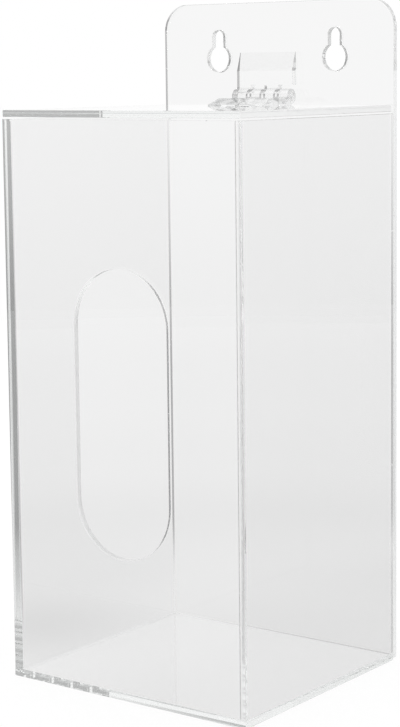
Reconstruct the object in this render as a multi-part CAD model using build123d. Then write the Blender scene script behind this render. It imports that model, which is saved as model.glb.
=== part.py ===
"""Glove dispenser of clear acrylic sheet: a wall-hung box, a hand slot in front, a lid on a butt hinge.

Millimetres, +Z up. The front faces -Y and the wall is behind, at +Y. The origin is the middle of the
footprint, at the height of the bottom panel's underside.

The five panels of the case are cemented edge to face. The front panel covers the left side panel's front
edge and butts against the right side panel. All three stand on the bottom panel, and they butt against
the tall back plate, which hangs on two screws. The lid is the only moving piece. It turns on a moulded
hinge of two leaves and a pin.
"""
import os
from math import sqrt

from build123d import *

# ---- Sheet stock ----
sheet = 3.0  # thickness of every panel

# ---- Case ----
case_width = 130.0
case_depth = 118.0  # front panel's outer face to the back plate's front face
case_height = 254.0  # bottom panel's underside to the walls' top edges

# ---- Hand slot in the front panel ----
slot_width = 50.8
slot_height = 127.0  # centred between the underside and the walls' top edges
slot_edge_radius = 0.6  # polished edge that a hand brushes past

# ---- Back plate, as wide as the case ----
plate_rise = 51.8  # top edge, above the walls' top edges
plate_foot_z = 1.0  # lower edge, above the underside of the case
plate_corner_radius = 13.0
keyhole_spacing = 66.0
keyhole_drop = 26.1  # plate's top edge to the centre of the round part, where a screw's head enters
keyhole_head_diameter = 12.7
keyhole_neck_width = 6.35
keyhole_neck_rise = 10.3  # head centre to the centre of the neck's round end

# ---- Lid ----
lid_side_inset = 0.5  # lid's edge inside the case's side
lid_wall_gap = 0.9  # lid's underside above the walls, room for its rear edge to dip as it opens
lid_rear_gap = 1.1  # lid's rear edge to the back plate

# ---- Hinge ----
hinge_centre_x = -3.6
hinge_width = 31.4
knuckle_count = 4  # taken in turn by the plate's leaf and the lid's leaf, from the left
knuckle_gap = 0.3
barrel_radius = 3.6
barrel_clearance = 0.3  # barrel to the plate and to the lid
pin_radius = 1.5
pin_end_chamfer = 0.3
pin_cement_film = 0.02  # round the pin in the plate's leaf, which holds it
pin_running_clearance = 0.06  # round the pin in the lid's leaf, which turns on it
leaf_thickness = 3.3
leaf_bevel_length = 8.7  # sloped end of each leaf
leaf_tip_thickness = 0.5
leaf_root_fillet = 0.8  # where a leaf's face runs into its barrel
plate_leaf_length = 20.6  # pin axis to the far edge
lid_leaf_length = 22.8
notch_reach = 5.4  # pin axis to the notches that clear the other leaf's knuckles
notch_corner_radius = 0.9

# ---- Places that follow from them ----
plate_front_y = (case_depth + sheet) / 2 - sheet
case_front_y = plate_front_y - case_depth
wall_foot_z = sheet
slot_centre_z = case_height / 2
plate_top_z = case_height + plate_rise
lid_bottom_z = case_height + lid_wall_gap
lid_top_z = lid_bottom_z + sheet
pin_offset = barrel_radius + barrel_clearance  # pin axis to each leaf's mounting face
pin_y = plate_front_y - pin_offset
pin_z = lid_top_z + pin_offset
hinge_left_x = hinge_centre_x - hinge_width / 2
knuckle_pitch = hinge_width / knuckle_count


def block(x_span, y_span, z_span):
    """Rectangular panel between two limits on each axis."""
    size = [high - low for low, high in (x_span, y_span, z_span)]
    middle = [(high + low) / 2 for low, high in (x_span, y_span, z_span)]
    return Pos(*middle) * Box(*size)


def upright(outline, rear_y):
    """Sheet cut to an outline drawn in X and Z, with its rear face at rear_y."""
    return extrude(Plane.XZ.offset(-rear_y) * outline, sheet)


def bottom_panel():
    half = case_width / 2
    return block((-half, half), (case_front_y, plate_front_y), (0, sheet))


def side_panel(side):
    """Side wall on the left (-1), behind the front panel, or on the right (+1), past the front panel's end."""
    outer = side * case_width / 2
    inner = outer - side * sheet
    front_y = case_front_y + sheet if side < 0 else case_front_y
    return block(sorted((inner, outer)), (front_y, plate_front_y), (wall_foot_z, case_height))


def front_panel():
    """Front, up to the right side panel, with an upright obround slot, its two rims rounded."""
    wall = Rectangle(case_width - sheet, case_height - wall_foot_z)
    wall = Pos(-sheet / 2, (wall_foot_z + case_height) / 2) * wall
    slot = Pos(0, slot_centre_z) * SlotOverall(slot_height, slot_width, rotation=90)
    panel = upright(wall - slot, case_front_y + sheet)
    in_slot = panel.edges().filter_by(lambda edge: abs(edge.center().X) <= slot_width / 2)
    rims = in_slot.filter_by(Axis.Y, reverse=True).filter_by(
        lambda edge: edge.bounding_box().size.X <= slot_width + 0.01
    )
    return fillet(rims, slot_edge_radius)


def keyhole():
    """Round entry for a screw's head, with a narrower neck above it for the shank."""
    neck_end = Pos(0, keyhole_neck_rise) * Circle(keyhole_neck_width / 2)
    neck = Pos(0, keyhole_neck_rise / 2) * Rectangle(keyhole_neck_width, keyhole_neck_rise)
    return Circle(keyhole_head_diameter / 2) + neck + neck_end


def back_plate():
    """Tall plate with rounded top corners and a keyhole on each side of the hinge."""
    outline = Pos(0, (plate_foot_z + plate_top_z) / 2) * Rectangle(case_width, plate_top_z - plate_foot_z)
    outline = fillet(outline.vertices().group_by(Axis.Y)[-1], plate_corner_radius)
    for side in (-1, 1):
        outline -= Pos(side * keyhole_spacing / 2, plate_top_z - keyhole_drop) * keyhole()
    return upright(outline, plate_front_y + sheet)


def lid_panel():
    half = case_width / 2 - lid_side_inset
    return block((-half, half), (case_front_y, plate_front_y - lid_rear_gap), (lid_bottom_z, lid_top_z))


def leaf_profile(length):
    """Side view of a leaf. X runs from the pin to the leaf's tip, Y up from its mounting face."""
    root_x = sqrt(barrel_radius**2 - (pin_offset - leaf_thickness) ** 2)
    under_barrel = (0, barrel_clearance)
    over_barrel = (0, pin_offset + barrel_radius)
    behind_barrel = (-barrel_radius, pin_offset)
    slab = Polyline(
        under_barrel,
        (0, 0),
        (length, 0),
        (length, leaf_tip_thickness),
        (length - leaf_bevel_length, leaf_thickness),
        (root_x, leaf_thickness),
    )
    front = RadiusArc((root_x, leaf_thickness), over_barrel, -barrel_radius)
    back = ThreePointArc(over_barrel, behind_barrel, under_barrel)
    outline = make_face([*slab.edges(), front, back])
    root = outline.vertices().sort_by_distance((root_x, leaf_thickness))[0]
    return fillet(root, leaf_root_fillet)


def hinge_leaf(length, own_knuckles, bore_radius):
    """Moulded leaf along +Y from the pin, mounting face down, with its own share of the knuckles."""
    side_view = Plane(origin=(hinge_left_x, 0, 0), x_dir=(0, 1, 0), z_dir=(1, 0, 0))
    leaf = extrude(side_view * leaf_profile(length), hinge_width)
    behind = 2 * barrel_radius
    for knuckle in range(knuckle_count):
        if knuckle in own_knuckles:
            continue
        left = hinge_left_x + knuckle * knuckle_pitch - knuckle_gap / 2
        right = left + knuckle_pitch + knuckle_gap
        if knuckle == 0:
            left -= knuckle_pitch
        if knuckle == knuckle_count - 1:
            right += knuckle_pitch
        opening = Rectangle(right - left, notch_reach + behind)
        opening = fillet(opening.vertices().group_by(Axis.Y)[-1], notch_corner_radius)
        opening = Pos((left + right) / 2, (notch_reach - behind) / 2) * opening
        leaf -= extrude(opening, pin_offset + 2 * barrel_radius)
    bore = Rot(0, 90, 0) * Cylinder(bore_radius, hinge_width + 2)
    return leaf - Pos(hinge_centre_x, 0, pin_offset) * bore


def plate_hinge_leaf():
    """Leaf that stands up the back plate's front face."""
    leaf = hinge_leaf(plate_leaf_length, range(0, knuckle_count, 2), pin_radius + pin_cement_film)
    return Pos(0, plate_front_y, pin_z) * Rot(90, 0, 0) * leaf


def lid_hinge_leaf():
    """Leaf that lies forward on the lid's top face."""
    leaf = hinge_leaf(lid_leaf_length, range(1, knuckle_count, 2), pin_radius + pin_running_clearance)
    return Pos(0, pin_y, lid_top_z) * mirror(leaf, Plane.XZ)


def hinge_pin():
    pin = Cylinder(pin_radius, hinge_width)
    pin = chamfer(pin.edges().filter_by(GeomType.CIRCLE), pin_end_chamfer)
    return Pos(hinge_centre_x, pin_y, pin_z) * Rot(0, 90, 0) * pin


pieces = {
    "back_plate": back_plate(),
    "front_panel": front_panel(),
    "left_side_panel": side_panel(-1),
    "right_side_panel": side_panel(1),
    "bottom_panel": bottom_panel(),
    "lid_panel": lid_panel(),
    "plate_hinge_leaf": plate_hinge_leaf(),
    "lid_hinge_leaf": lid_hinge_leaf(),
    "hinge_pin": hinge_pin(),
}

os.makedirs("parts", exist_ok=True)
for name, piece in pieces.items():
    export_step(piece, f"parts/{name}.step")
    box = piece.bounding_box()
    print(name, [round(v, 2) for v in (*box.min, *box.max)])
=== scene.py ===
"""Clear acrylic glove dispenser: polished sheet panels, moulded butt hinge, pale studio.

Metres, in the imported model's frame: +Z up, the front faces -Y. Every panel of sheet is rebuilt as the
saw and the polisher leave it, with a fine arris on each edge. The case's panels are fused by their
cement, and the walls cut for the slot and the keyholes keep a haze. All refraction comes from the solids
themselves.
"""
import math

import bpy
import numpy as np
from mathutils import Matrix, Vector
from mathutils.geometry import tessellate_polygon


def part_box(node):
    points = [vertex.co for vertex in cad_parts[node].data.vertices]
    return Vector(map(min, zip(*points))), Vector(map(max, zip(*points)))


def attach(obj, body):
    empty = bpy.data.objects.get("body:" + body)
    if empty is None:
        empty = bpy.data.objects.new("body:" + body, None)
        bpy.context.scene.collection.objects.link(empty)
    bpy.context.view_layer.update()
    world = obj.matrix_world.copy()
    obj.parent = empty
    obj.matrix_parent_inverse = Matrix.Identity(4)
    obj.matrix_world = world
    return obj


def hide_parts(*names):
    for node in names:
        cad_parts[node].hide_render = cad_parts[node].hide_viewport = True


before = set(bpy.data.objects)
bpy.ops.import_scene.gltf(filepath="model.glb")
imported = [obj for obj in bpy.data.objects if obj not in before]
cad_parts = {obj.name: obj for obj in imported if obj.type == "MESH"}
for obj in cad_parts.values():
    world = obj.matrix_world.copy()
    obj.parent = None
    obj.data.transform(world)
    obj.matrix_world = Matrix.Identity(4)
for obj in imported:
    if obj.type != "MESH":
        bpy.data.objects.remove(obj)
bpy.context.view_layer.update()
MM = 0.001

# ---- Camera, fitted to the case's edges ----
IMAGE_HEIGHT = 727  # longer side of the frame in pixels
EYE = Vector((0.52423, -0.69841, 0.27439))
YAW, PITCH, ROLL = math.radians(37.005), math.radians(-7.200), math.radians(0.675)
FOCAL_PX = 1943.1
AXIS_ROW_PX = 315.7  # image row that the optical axis passes through
SENSOR = 36.0


def make_camera():
    data = bpy.data.cameras.new("camera")
    data.sensor_width = SENSOR
    data.lens = FOCAL_PX * SENSOR / IMAGE_HEIGHT
    data.shift_y = (AXIS_ROW_PX - IMAGE_HEIGHT / 2) / IMAGE_HEIGHT
    data.clip_start, data.clip_end = 0.05, 50
    camera = bpy.data.objects.new("camera", data)
    turn = Matrix.Rotation(YAW, 3, "Z") @ Matrix.Rotation(PITCH, 3, "X") @ Matrix.Rotation(ROLL, 3, "Y")
    level = Matrix.Rotation(math.radians(90), 3, "X")
    camera.matrix_world = Matrix.Translation(EYE) @ (turn @ level).to_4x4()
    bpy.context.collection.objects.link(camera)
    bpy.context.scene.camera = camera


make_camera()

# ---- Sheet and joints ----
ARRIS = 0.18 * MM  # broken corner along every edge of a panel
OPEN, CEMENTED, SCRAPED = 1.0, 0.12, 1.6  # arris on a free edge, left open by cement, on a scraped edge
ALL_OPEN = (OPEN, OPEN, OPEN, OPEN)
BOND = 0.01 * MM  # each cemented sheet reaches this far past its nominal size, so that neighbours fuse
BEAD = 1.2 * MM  # radius of the cement drawn into the left front inner corner
FILM_DEPTH = 1.1 * MM  # clouded cement at the right front seam, from the front face back
FILM_FRONT, FILM_FOOT, FILM_TOP = 0.02 * MM, 1.0 * MM, 0.3 * MM  # its gaps to the panel's face and ends
FILM = 0.03 * MM  # its thickness
UNDER = 0.17 * MM  # sheet of the right side runs this much under its nominal thickness
PLATE_LINE = 0.05 * MM  # hair-thin air line left between the case's rear edges and the back plate
ACRYLIC_IOR = 1.49
SHEET_TINT, SHEET_DENSITY, SHEET_PATH = (0.80, 0.83, 0.82), 2.5, 40  # faint grey, its strength, bounces
HINGE_TINT, HINGE_DENSITY, HINGE_PATH = (0.80, 0.82, 0.82), 6.0, 14
CLOUD_CLEAR, CLOUD_GREY, CLOUD_ROUGHNESS = 0.66, 0.22, 0.5  # share of light let through, tone of the rest

# ---- Openings ----
SLOT_WIDTH, SLOT_HEIGHT = 50.8 * MM, 127.0 * MM
SLOT_ROUND, SLOT_STEPS = 0.6 * MM, 4  # radius rubbed on the slot's rims, and the bands that draw it
KEYHOLE_HEAD, KEYHOLE_NECK = 6.35 * MM, 3.175 * MM  # radius of the head, half the neck's width
KEYHOLE_RISE = 10.3 * MM  # head's centre to the centre of the neck's round end
KEYHOLE_X, KEYHOLE_DROP = 33.0 * MM, 26.1 * MM  # head's centre from the middle, and below the plate's top
PLATE_CORNER = 13.0 * MM

# ---- Haze: share of the light that a cut or worn face scatters ----
SLOT_HAZE = 0.9  # slot's wall where it faces up or right, worn by hands and dust
KEYHOLE_HAZE = 0.45  # sawn walls of the keyholes
SEAM_HAZE = 0.45  # right side panel's scraped front edge
RIM_HAZE = 0.6  # plate's outer edge where it faces right
LID_HAZE = 0.7  # lid's edge on the right
CUT_TILT = 0.97  # a face of an upright sheet is a cut one if its normal's Y is under this
RIGHTWARD, FORWARD = 0.01, -0.5  # a face turns right if its normal's X is over, to the front if Y is under

# ---- Places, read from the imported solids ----
X, Y, Z = 0, 1, 2


def span_of(node, axis):
    low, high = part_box(node)
    return low[axis], high[axis]


front_x, front_y, front_z = (span_of("front_panel", axis) for axis in (X, Y, Z))
slot_z = front_z[1] / 2
plate_top = span_of("back_plate", Z)[1]
keyhole_z = plate_top - KEYHOLE_DROP


# ---- Outlines: each returns points for an inset, so that an arris can be drawn beside its edge ----
def arc(centre, radius, start, end, count=46):
    """Points at centre + radius * (cos a, sin a), for angles a from start to end in degrees."""
    angle = np.radians(np.linspace(start, end, count))
    return np.stack([centre[0] + radius * np.cos(angle), centre[1] + radius * np.sin(angle)], 1)


def rectangle(u_span, v_span, top_radius=0.0):
    """Rectangle drawn anticlockwise, its two upper corners rounded where top_radius is given.

    Its inset is one length, or four: on the low-u, high-u, low-v and high-v sides.
    """

    def outline(inset):
        low_u, high_u, low_v, high_v = np.broadcast_to(inset, 4)
        u0, u1 = u_span[0] + low_u, u_span[1] - high_u
        v0, v1 = v_span[0] + low_v, v_span[1] - high_v
        foot = [np.array([(u0, v0), (u1, v0)])]
        if not top_radius:
            return np.concatenate([*foot, np.array([(u1, v1), (u0, v1)])])
        radius = top_radius - high_v
        right = arc((u1 - radius, v1 - radius), radius, 0, 90)
        left = arc((u0 + radius, v1 - radius), radius, 90, 180)
        return np.concatenate([*foot, right, left])

    return outline


def obround(centre, width, height):
    """Upright slot with round ends. An inset of a hole makes it larger."""

    def outline(inset):
        radius = width / 2 + inset
        reach = (height - width) / 2
        upper = arc((centre[0], centre[1] + reach), radius, 0, 180)
        lower = arc((centre[0], centre[1] - reach), radius, 180, 360)
        return np.concatenate([upper, lower])

    return outline


def keyhole(centre, head_radius, neck_half, rise):
    """Round head with a narrower neck above it, ending in a half circle."""

    def outline(inset):
        head, neck = head_radius + inset, neck_half + inset
        shoulder = math.degrees(math.acos(neck / head))
        around = arc(centre, head, 180 - shoulder, 360 + shoulder)
        end = arc((centre[0], centre[1] + rise), neck, 0, 180)
        return np.concatenate([around, end])

    return outline


def solid(name, points, faces):
    """Object from points and faces, its place in its mesh."""
    mesh = bpy.data.meshes.new(name)
    mesh.from_pydata(points.tolist(), [], faces)
    piece = bpy.data.objects.new(name, mesh)
    bpy.context.collection.objects.link(piece)
    return piece


def edge_profile(radius, thickness, steps):
    """Rows of (depth, inset) across a panel's edge, from one face to the other.

    At angle a from 0 to 90 degrees a rim is radius * (1 - cos a) deep and set back radius * (1 - sin a).
    One step gives a flat arris, more give a rounded rim.
    """
    angle = np.linspace(0, math.pi / 2, steps + 1)
    depth, inset = radius * (1 - np.cos(angle)), radius * (1 - np.sin(angle))
    return list(zip(depth, inset)) + list(zip(thickness - depth[::-1], inset[::-1]))


def sheet_panel(name, outer, holes, span, plane, rims=(ALL_OPEN, ALL_OPEN)):
    """Panel cut from sheet: outlines carried through the thickness, with a broken edge on both rims.

    Each outline is drawn once for every row of its edge profile. Bands of quads join the rows, and the
    two flat faces are filled between the outer outline and the holes. rims gives for the low and the
    high rim the share of the arris on the low-u, high-u, low-v and high-v sides.
    """
    low, thickness = span[0] - BOND, span[1] - span[0] + 2 * BOND
    points, faces, edges = [], [], []
    total = 0
    for outline, radius, steps in [(outer, ARRIS, 1), *holes]:
        rows = edge_profile(radius, thickness, steps)
        share = [np.array(rim) for rim in rims] if outline is outer else [1.0, 1.0]
        count = len(outline(0.0))
        for row, (depth, inset) in enumerate(rows):
            flat = outline(inset * share[row > steps] - BOND)
            points.append(plane(flat[:, 0], flat[:, 1], np.full(count, low + depth)))
        along = np.arange(count)
        after = (along + 1) % count
        for row in range(len(rows) - 1):
            a, b = total + row * count, total + (row + 1) * count
            quads = np.stack([a + along, a + after, b + after, b + along], 1)
            faces += (quads if total == 0 else quads[:, ::-1]).tolist()
        rims_drawn = [outline(radius * part - BOND) for part in share]
        edges.append((total, total + (len(rows) - 1) * count, rims_drawn))
        total += len(rows) * count
    for side in (0, 1):
        loops = [[Vector((u, v, 0)) for u, v in edge[2][side]] for edge in edges]
        flat_points = np.concatenate([edge[2][side] for edge in edges])
        indices = np.concatenate([edge[side] + np.arange(len(edge[2][side])) for edge in edges])
        for corner in tessellate_polygon(loops):
            a, b, c = flat_points[list(corner)]
            area = (b[0] - a[0]) * (c[1] - a[1]) - (b[1] - a[1]) * (c[0] - a[0])
            corner = [int(indices[i]) for i in corner]
            faces.append(corner if (area > 0) == (side == 1) else corner[::-1])
    if plane is facing_front:
        faces = [face[::-1] for face in faces]
    return solid(name, np.concatenate(points), faces)


def polish(piece, material):
    """Flat faces stay flat, curved bands shade smoothly, and every arris keeps its crease."""
    mesh = piece.data
    normals = np.zeros(len(mesh.polygons) * 3)
    mesh.polygons.foreach_get("normal", normals)
    square_on = np.abs(normals.reshape(-1, 3)).max(1) > 0.9999
    mesh.set_sharp_from_angle(angle=math.radians(30))
    mesh.polygons.foreach_set("use_smooth", ~square_on)
    mesh.materials.clear()
    mesh.materials.append(material)


def haze(piece, share):
    """Haze on a sheet's faces. share works it out from their normals and middles, as rows of X, Y and Z."""
    mesh = piece.data
    facing, middle = np.zeros(len(mesh.polygons) * 3), np.zeros(len(mesh.polygons) * 3)
    mesh.polygons.foreach_get("normal", facing)
    mesh.polygons.foreach_get("center", middle)
    level = share(facing.reshape(-1, 3), middle.reshape(-1, 3)).astype(np.float32)
    mesh.attributes.new("haze", "FLOAT", "FACE").data.foreach_set("value", level)


def cemented(name, panels):
    """One solid from panels that overlap by the bond, as solvent cement leaves them: a Boolean union."""
    whole = panels[0]
    for panel in panels[1:]:
        bond = whole.modifiers.new("bond", "BOOLEAN")
        bond.operation, bond.solver, bond.object = "UNION", "EXACT", panel
    bpy.context.view_layer.update()
    mesh = bpy.data.meshes.new_from_object(whole.evaluated_get(bpy.context.evaluated_depsgraph_get()))
    for panel in panels:
        bpy.data.objects.remove(panel)
    mesh.name = name
    piece = bpy.data.objects.new(name, mesh)
    bpy.context.collection.objects.link(piece)
    return piece


def box_piece(name, x_span, y_span, z_span):
    """Plain box between two limits on each axis."""
    points = np.array([(x, y, z) for z in z_span for y in y_span for x in x_span])
    faces = [(0, 2, 3, 1), (4, 5, 7, 6), (0, 1, 5, 4), (2, 6, 7, 3), (0, 4, 6, 2), (1, 3, 7, 5)]
    return solid(name, points, faces)


def corner_bead(name, corner, inward, span, radius, steps=8):
    """Cement drawn into an upright inner corner: a concave quarter round between the two sheets.

    From the corner the bead's face runs along the arc corner + inward * radius * (1 - sin a, 1 - cos a),
    for a from 0 to 90 degrees. The two flanks reach past the corner by the bond, into the sheets.
    """
    angle = np.linspace(0, math.pi / 2, steps + 1)
    face = np.stack([1 - np.sin(angle), 1 - np.cos(angle)], 1) * radius
    face[0, 1] = face[-1, 0] = -2 * BOND
    outline = np.concatenate([face, [(-2 * BOND, -2 * BOND)]])
    flat = np.array(corner) + np.array(inward) * outline
    if inward[0] * inward[1] > 0:
        flat = flat[::-1]
    count = len(flat)
    points = np.concatenate([np.c_[flat, np.full(count, z)] for z in span])
    along = np.arange(count)
    after = (along + 1) % count
    faces = np.stack([along, after, count + after, count + along], 1).tolist()
    faces += [along[::-1].tolist(), (count + along).tolist()]
    return solid(name, points, faces)


def facing_front(u, v, depth):
    """u along X, v along Z, depth along Y, with the low face in front."""
    return np.stack([u, depth, v], 1)


def lying(u, v, depth):
    """u along X, v along Y, depth along Z."""
    return np.stack([u, v, depth], 1)


def facing_side(u, v, depth):
    """u along Y, v along Z, depth along X."""
    return np.stack([depth, u, v], 1)


# ---- Materials ----
def clear_acrylic(name, tint, density, longest_path, hazed=False):
    """Polished clear acrylic: sharp refraction, and a faint grey that builds up along a long path.

    Flawless faces would trap some light for ever. Past longest_path bounces it passes straight out, as
    it does at the faint waves and scratches of a real surface. Where hazed, the faces scatter the share
    of the light that the piece's haze attribute gives.
    """
    material = bpy.data.materials.new(name)
    material.use_nodes = True
    nodes, links = material.node_tree.nodes, material.node_tree.links
    shader = nodes["Principled BSDF"]
    shader.inputs["Base Color"].default_value = (1, 1, 1, 1)
    shader.inputs["Roughness"].default_value = 0.0
    shader.inputs["IOR"].default_value = ACRYLIC_IOR
    absorb = nodes.new("ShaderNodeVolumeAbsorption")
    absorb.inputs["Color"].default_value = (*tint, 1)
    absorb.inputs["Density"].default_value = density
    links.new(absorb.outputs[0], nodes["Material Output"].inputs["Volume"])
    shader.inputs["Transmission Weight"].default_value = 1.0
    if hazed:
        haze, clear = nodes.new("ShaderNodeAttribute"), nodes.new("ShaderNodeMath")
        haze.attribute_name = "haze"
        clear.operation = "SUBTRACT"
        clear.inputs[0].default_value = 1.0
        links.new(haze.outputs["Fac"], clear.inputs[1])
        links.new(clear.outputs[0], shader.inputs["Transmission Weight"])
    path = nodes.new("ShaderNodeLightPath")
    trapped = nodes.new("ShaderNodeMath")
    trapped.operation = "GREATER_THAN"
    trapped.inputs[1].default_value = longest_path + 0.5
    links.new(path.outputs["Ray Depth"], trapped.inputs[0])
    leave = nodes.new("ShaderNodeMixShader")
    links.new(trapped.outputs[0], leave.inputs["Fac"])
    links.new(shader.outputs[0], leave.inputs[1])
    links.new(nodes.new("ShaderNodeBsdfTransparent").outputs[0], leave.inputs[2])
    links.new(leave.outputs[0], nodes["Material Output"].inputs["Surface"])
    return material


def clouded_cement():
    """Cement with fine bubbles in it: a share of the light passes, the rest meets a soft grey."""
    material = bpy.data.materials.new("clouded_cement")
    material.use_nodes = True
    shader = material.node_tree.nodes["Principled BSDF"]
    shader.inputs["Base Color"].default_value = (CLOUD_GREY, CLOUD_GREY, CLOUD_GREY, 1)
    shader.inputs["Roughness"].default_value = CLOUD_ROUGHNESS
    shader.inputs["Alpha"].default_value = 1 - CLOUD_CLEAR
    return material


SHEET = clear_acrylic("sheet_acrylic_clear", SHEET_TINT, SHEET_DENSITY, SHEET_PATH, hazed=True)
HINGE = clear_acrylic("hinge_acrylic_clear", HINGE_TINT, HINGE_DENSITY, HINGE_PATH)
CLOUDED = clouded_cement()


# ---- Panels ----
def panel_of(node, plane, u_axis, v_axis, depth_axis, top_radius=0.0, holes=(), rims=(ALL_OPEN, ALL_OPEN),
             u_span=None, depth_span=None):
    """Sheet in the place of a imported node, cut to that node's limits unless a span says otherwise."""
    outer = rectangle(u_span or span_of(node, u_axis), span_of(node, v_axis), top_radius)
    return sheet_panel(node + "_sheet", outer, holes, depth_span or span_of(node, depth_axis), plane, rims)


def finished(piece, body, material, slot_name, *nodes):
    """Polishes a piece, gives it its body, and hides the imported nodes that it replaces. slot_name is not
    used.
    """
    polish(piece, material)
    if nodes:
        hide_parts(*nodes)
    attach(piece, body)


slot = (obround((0, slot_z), SLOT_WIDTH, SLOT_HEIGHT), SLOT_ROUND, SLOT_STEPS)
keyholes = [
    (keyhole((side * KEYHOLE_X, keyhole_z), KEYHOLE_HEAD, KEYHOLE_NECK, KEYHOLE_RISE), ARRIS, 1)
    for side in (-1, 1)
]
inner_corner = (span_of("left_side_panel", X)[1], front_y[1])
seam_x = front_x[1] + UNDER


def case_haze(facing, middle):
    """Share scattered by the slot's wall, where it faces up or right, and by the right side's front edge."""
    in_slot = (np.abs(facing[:, Y]) < CUT_TILT) & (np.abs(middle[:, X]) < SLOT_WIDTH / 2 + MM)
    in_slot &= np.abs(middle[:, Z] - slot_z) < SLOT_HEIGHT / 2 + MM
    at_seam = (facing[:, Y] < FORWARD) & (middle[:, X] > seam_x) & (middle[:, Y] < front_y[0] + MM)
    worn = SLOT_HAZE * np.clip(facing[:, X] + facing[:, Z], 0, 1)
    return np.where(at_seam, SEAM_HAZE, np.where(in_slot, worn, 0))


def plate_haze(facing, middle):
    """Share scattered by the keyholes' walls, and by the outer edge where it faces right."""
    in_keyholes = np.abs(middle[:, X]) < KEYHOLE_X + KEYHOLE_HEAD + MM
    in_keyholes &= middle[:, Z] > keyhole_z - KEYHOLE_HEAD - MM
    in_keyholes &= middle[:, Z] < keyhole_z + KEYHOLE_RISE + KEYHOLE_NECK + MM
    sawn = np.where(in_keyholes, KEYHOLE_HAZE, RIM_HAZE * (facing[:, X] > RIGHTWARD))
    return sawn * (np.abs(facing[:, Y]) < CUT_TILT)


def lid_haze(facing, middle):
    """Share scattered by the lid's right edge."""
    return LID_HAZE * (facing[:, X] > RIGHTWARD)


case_nodes = ["front_panel", "left_side_panel", "right_side_panel", "bottom_panel"]
case_sheets = cemented(
    "case_sheets",
    [
        panel_of(
            "front_panel", facing_front, X, Z, Y, holes=[slot],
            rims=((OPEN, OPEN, CEMENTED, OPEN), (CEMENTED, CEMENTED, CEMENTED, OPEN)),
            u_span=(front_x[0], seam_x),
        ),
        panel_of("left_side_panel", facing_side, Y, Z, X, rims=((CEMENTED, OPEN, CEMENTED, OPEN),) * 2),
        panel_of(
            "right_side_panel", facing_side, Y, Z, X,
            rims=((SCRAPED, OPEN, CEMENTED, OPEN),) * 2,
            depth_span=(seam_x, span_of("right_side_panel", X)[1]),
        ),
        panel_of("bottom_panel", lying, X, Y, Z, rims=(ALL_OPEN, (CEMENTED, CEMENTED, CEMENTED, OPEN))),
        corner_bead("left_bead", inner_corner, (1, 1), (front_z[0] - BOND, front_z[1] - MM), BEAD),
    ],
)
haze(case_sheets, case_haze)
finished(case_sheets, "case", SHEET, "sheet_acrylic", *case_nodes)
seam_film = box_piece(
    "seam_film",
    (seam_x - FILM / 2, seam_x + FILM / 2),
    (front_y[0] + FILM_FRONT, front_y[0] + FILM_DEPTH),
    (front_z[0] + FILM_FOOT, front_z[1] - FILM_TOP),
)
finished(seam_film, "case", CLOUDED, "sheet_acrylic")
plate_sheet = panel_of("back_plate", facing_front, X, Z, Y, top_radius=PLATE_CORNER, holes=keyholes)
plate_sheet.data.transform(Matrix.Translation((0, PLATE_LINE, 0)))
haze(plate_sheet, plate_haze)
finished(plate_sheet, "case", SHEET, "sheet_acrylic", "back_plate")
lid_sheet = panel_of("lid_panel", lying, X, Y, Z)
haze(lid_sheet, lid_haze)
finished(lid_sheet, "lid", SHEET, "sheet_acrylic", "lid_panel")

for node in ("plate_hinge_leaf", "lid_hinge_leaf", "hinge_pin"):
    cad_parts[node].material_slots[0].material = HINGE


# ---- Studio ----
# Grey level of the room by compass bearing, in degrees from +Y towards +X: above table height, and below.
ROOM_HIGH = [
    (-180, 0.94), (-150, 0.93), (-112, 0.93), (-88, 0.94), (-62, 1.0), (-20, 0.98), (2, 0.76),
    (22, 0.49), (104, 0.47), (126, 0.72), (150, 0.90), (180, 0.94),
]  # fmt: skip
ROOM_LOW = [
    (-180, 0.60), (-156, 0.46), (-142, 0.36), (-112, 0.36), (-88, 0.52), (-62, 0.78), (-20, 0.78),
    (2, 0.60), (22, 0.28), (104, 0.28), (126, 0.45), (150, 0.58), (180, 0.60),
]  # fmt: skip
# Grey level of the backdrop by sine of elevation, and of the table by distance from the object in metres. The
# table glows these greys, darker towards the object: painted shade.
BACKDROP_BY_HEIGHT = [(-0.30, 0.90), (-0.125, 0.935), (0.0, 0.928), (0.5, 0.922)]
TABLE_BY_DISTANCE = [
    (0.0, 0.762), (0.07, 0.755), (0.15, 0.778), (0.30, 0.795), (0.47, 0.834), (0.73, 0.852), (1.3, 0.868),
]  # fmt: skip
SHADOW_MIDDLE, SHADOW_REACH, SHADOW_GREY = (-0.105, 0.005, 0.0), 0.08, 0.68  # soft shade left of the case
WALL_RISE, LIGHT_RISE = (-0.17, 0.02), (0.62, 0.92)  # sines of elevation: low to high tones, to the light
LIGHT_GREY = 0.97
TABLE_CORNERS, TABLE_DROP = 96, 0.1 * MM
TABLE_WHITE, TABLE_SHADE = 0.94, 0.08  # its own glow to the eye, and the matt share that takes a shadow
MIRROR_HEIGHT = 0.15  # painted reflection: the table glows with the room's tones as seen from this far above it
# Under the case the table's painted reflection is two greys, left and right of a soft line across X, out to a
# reach.
UNDER_GREYS, UNDER_LINE, UNDER_REACH = (0.80, 0.45), (-0.08, 0.03), (0.10, 0.24)
BOUNCES, CLEAR_BOUNCES = 48, 64  # enough for light guided along a sheet


def ramp(nodes, links, source, stops):
    """Grey level read from a list of stops, by a value that runs from the first to the last of them."""
    low, high = stops[0][0], stops[-1][0]
    spread = nodes.new("ShaderNodeMapRange")
    spread.inputs["From Min"].default_value, spread.inputs["From Max"].default_value = low, high
    links.new(source, spread.inputs["Value"])
    node = nodes.new("ShaderNodeValToRGB")
    node.color_ramp.interpolation = "EASE"
    elements = node.color_ramp.elements
    while len(elements) < len(stops):
        elements.new(0.5)
    for element, (value, grey) in zip(elements, stops):
        element.position = (value - low) / (high - low)
        element.color = (grey, grey, grey, 1)
    links.new(spread.outputs[0], node.inputs[0])
    return node.outputs["Color"]


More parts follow.
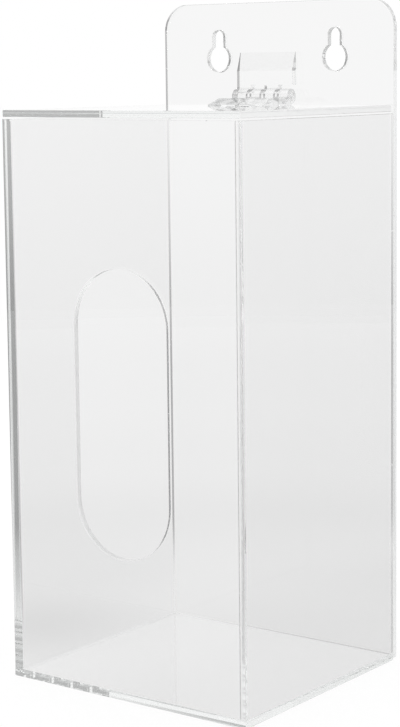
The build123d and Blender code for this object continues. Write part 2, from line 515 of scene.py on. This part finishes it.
def mix_grey(nodes, links, factor, first, second):
    """Blend of two greys. Each is a socket or a number."""
    mix = nodes.new("ShaderNodeMix")
    mix.data_type = "RGBA"
    links.new(factor, mix.inputs["Factor"])
    for value, socket in ((first, mix.inputs["A"]), (second, mix.inputs["B"])):
        if isinstance(value, (int, float)):
            socket.default_value = (value, value, value, 1)
        else:
            links.new(value, socket)
    return mix.outputs["Result"]


def smooth_step(nodes, links, source, low, high):
    """0 where source is under low, 1 over high, and a smooth rise between."""
    step = nodes.new("ShaderNodeMapRange")
    step.interpolation_type = "SMOOTHSTEP"
    step.inputs["From Min"].default_value, step.inputs["From Max"].default_value = low, high
    links.new(source, step.inputs["Value"])
    return step.outputs[0]


def room(nodes, links, direction):
    """What polished surfaces mirror: walls with a dark corner, a darker table, a wide soft light overhead."""
    level = nodes.new("ShaderNodeVectorMath")
    level.operation = "NORMALIZE"
    links.new(direction, level.inputs[0])
    split = nodes.new("ShaderNodeSeparateXYZ")
    links.new(level.outputs[0], split.inputs[0])
    bearing = nodes.new("ShaderNodeMath")
    bearing.operation = "ARCTAN2"
    links.new(split.outputs["X"], bearing.inputs[0])
    links.new(split.outputs["Y"], bearing.inputs[1])
    high, low = (
        ramp(nodes, links, bearing.outputs[0], [(math.radians(degrees), grey) for degrees, grey in stops])
        for stops in (ROOM_HIGH, ROOM_LOW)
    )
    height = split.outputs["Z"]
    walls = mix_grey(nodes, links, smooth_step(nodes, links, height, *WALL_RISE), low, high)
    overhead = smooth_step(nodes, links, height, *LIGHT_RISE)
    return mix_grey(nodes, links, overhead, walls, LIGHT_GREY), height


def mirrored(nodes, links, path):
    """1 for light that has met a mirror reflection, inside or outside the sheet."""
    step = nodes.new("ShaderNodeMath")
    step.operation = "GREATER_THAN"
    step.inputs[1].default_value = 0.5
    links.new(path.outputs["Glossy Depth"], step.inputs[0])
    return step.outputs[0]


def make_world():
    """White to the eye, pale grey through clear sheet, and a soft room in every reflection."""
    world = bpy.data.worlds.new("studio")
    bpy.context.scene.world = world
    world.use_nodes = True
    nodes, links = world.node_tree.nodes, world.node_tree.links
    path = nodes.new("ShaderNodeLightPath")
    sky = nodes.new("ShaderNodeTexCoord")
    reflected, height = room(nodes, links, sky.outputs["Generated"])
    straight = ramp(nodes, links, height, BACKDROP_BY_HEIGHT)
    seen = mix_grey(nodes, links, mirrored(nodes, links, path), straight, reflected)
    colour = mix_grey(nodes, links, path.outputs["Is Camera Ray"], seen, 1.0)
    links.new(colour, nodes["Background"].inputs["Color"])


def make_floor():
    """Round table top that glows. White to the eye, with the object's own faint shadow from its matt share.
    Through the sheet its glow is grey, with painted shade near the case and a painted reflection of the room.
    """
    reach = TABLE_BY_DISTANCE[-1][0]
    angle = np.linspace(0, 2 * np.pi, TABLE_CORNERS, endpoint=False)
    edge = np.stack([reach * np.cos(angle), reach * np.sin(angle), np.full(TABLE_CORNERS, -TABLE_DROP)], 1)
    floor = solid("floor", edge, [tuple(range(TABLE_CORNERS))])
    material = bpy.data.materials.new("floor_white")
    material.use_nodes = True
    nodes, links = material.node_tree.nodes, material.node_tree.links
    nodes.clear()
    out = nodes.new("ShaderNodeOutputMaterial")
    path = nodes.new("ShaderNodeLightPath")
    place = nodes.new("ShaderNodeTexCoord")
    # painted reflection of the room, glowing from the table for light that has met a mirror reflection
    raised = nodes.new("ShaderNodeVectorMath")
    raised.inputs[1].default_value = (0, 0, -MIRROR_HEIGHT)
    links.new(place.outputs["Object"], raised.inputs[0])
    reflected, _ = room(nodes, links, raised.outputs[0])
    distance = nodes.new("ShaderNodeVectorMath")
    distance.operation = "LENGTH"
    links.new(place.outputs["Object"], distance.inputs[0])
    # the table's glow through the sheet, darker towards the object: painted shade
    straight = ramp(nodes, links, distance.outputs["Value"], TABLE_BY_DISTANCE)
    aside = nodes.new("ShaderNodeVectorMath")
    aside.operation = "DISTANCE"
    links.new(place.outputs["Object"], aside.inputs[0])
    aside.inputs[1].default_value = SHADOW_MIDDLE
    lit = smooth_step(nodes, links, aside.outputs["Value"], 0.0, SHADOW_REACH)
    straight = mix_grey(nodes, links, lit, SHADOW_GREY, straight)
    # under the case the painted reflection turns to two greys across X
    split = nodes.new("ShaderNodeSeparateXYZ")
    links.new(place.outputs["Object"], split.inputs[0])
    across = smooth_step(nodes, links, split.outputs["X"], *UNDER_LINE)
    under = mix_grey(nodes, links, across, *UNDER_GREYS)
    near = smooth_step(nodes, links, distance.outputs["Value"], *UNDER_REACH)
    reflected = mix_grey(nodes, links, near, under, reflected)
    seen = mix_grey(nodes, links, mirrored(nodes, links, path), straight, reflected)
    colour = mix_grey(nodes, links, path.outputs["Is Camera Ray"], seen, TABLE_WHITE)
    glow = nodes.new("ShaderNodeEmission")
    links.new(colour, glow.inputs["Color"])
    shade = nodes.new("ShaderNodeBsdfDiffuse")
    shade.inputs["Color"].default_value = (TABLE_SHADE, TABLE_SHADE, TABLE_SHADE, 1)
    add = nodes.new("ShaderNodeAddShader")
    links.new(glow.outputs[0], add.inputs[0])
    links.new(shade.outputs[0], add.inputs[1])
    links.new(add.outputs[0], out.inputs["Surface"])
    floor.data.materials.append(material)


make_world()
make_floor()

scene = bpy.context.scene
scene.view_settings.view_transform = "Standard"
scene.cycles.max_bounces = BOUNCES
scene.cycles.transmission_bounces = BOUNCES
scene.cycles.glossy_bounces = BOUNCES
scene.cycles.transparent_max_bounces = CLEAR_BOUNCES
